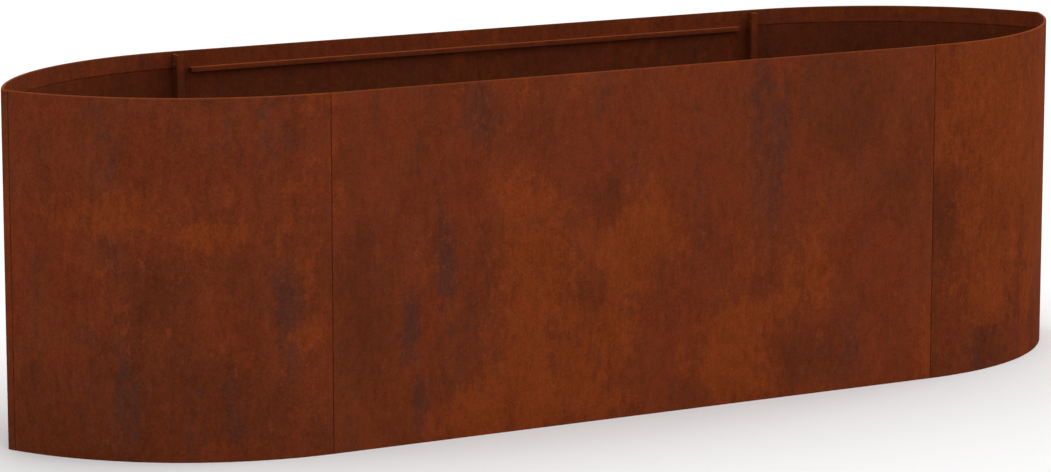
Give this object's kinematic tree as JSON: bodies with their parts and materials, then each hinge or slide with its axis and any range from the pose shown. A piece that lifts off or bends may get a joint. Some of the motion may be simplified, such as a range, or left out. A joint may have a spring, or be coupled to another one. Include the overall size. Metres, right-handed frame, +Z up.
{
  "type": "planter box",
  "caption": "Long bottomless planter of weathering steel sheet, pointed oval in plan, bolted from straight and curved panels with inner rails, bands and cross ties.",
  "frame": {"origin": "centre of the plan, on the ground under the planter", "axes": "+X along the length, +Y from the front side to the back side, +Z up"},
  "size_m": [2.8, 0.8, 0.8],
  "materials": {
    "weathered_sheet": "matt rust patina with streaks and orange patches",
    "weathered_inner_steel": "matt dark rust patina",
    "rusted_fastener": "rusted steel with worn bright edges"
  },
  "bodies": {
    "root": {"front_side_panel": "weathered_sheet", "back_side_panel": "weathered_sheet", "front_left_curved_panel": "weathered_sheet", "front_right_curved_panel": "weathered_sheet", "back_left_curved_panel": "weathered_sheet", "back_right_curved_panel": "weathered_sheet", "front_left_tip_angle": "weathered_sheet", "front_right_tip_angle": "weathered_sheet", "back_left_tip_angle": "weathered_sheet", "back_right_tip_angle": "weathered_sheet", "front_left_joint_flange": "weathered_inner_steel", "front_right_joint_flange": "weathered_inner_steel", "back_left_joint_flange": "weathered_inner_steel", "back_right_joint_flange": "weathered_inner_steel", "front_left_top_band": "weathered_inner_steel", "front_right_top_band": "weathered_inner_steel", "back_left_top_band": "weathered_inner_steel", "back_right_top_band": "weathered_inner_steel", "front_left_base_band": "weathered_inner_steel", "front_right_base_band": "weathered_inner_steel", "back_left_base_band": "weathered_inner_steel", "back_right_base_band": "weathered_inner_steel", "front_top_rail": "weathered_inner_steel", "back_top_rail": "weathered_inner_steel", "front_base_rail": "weathered_inner_steel", "back_base_rail": "weathered_inner_steel", "tie_brackets": "weathered_inner_steel", "side_joint_bolts": "rusted_fastener", "side_joint_nuts": "rusted_fastener", "tip_joint_bolts": "rusted_fastener", "tip_joint_nuts": "rusted_fastener", "tie_nuts": "rusted_fastener", "left_tie_rod": "rusted_fastener", "right_tie_rod": "rusted_fastener", "side_joint_washers": "rusted_fastener", "tip_joint_washers": "rusted_fastener", "tie_washers": "rusted_fastener"}
  },
  "joints": []
}
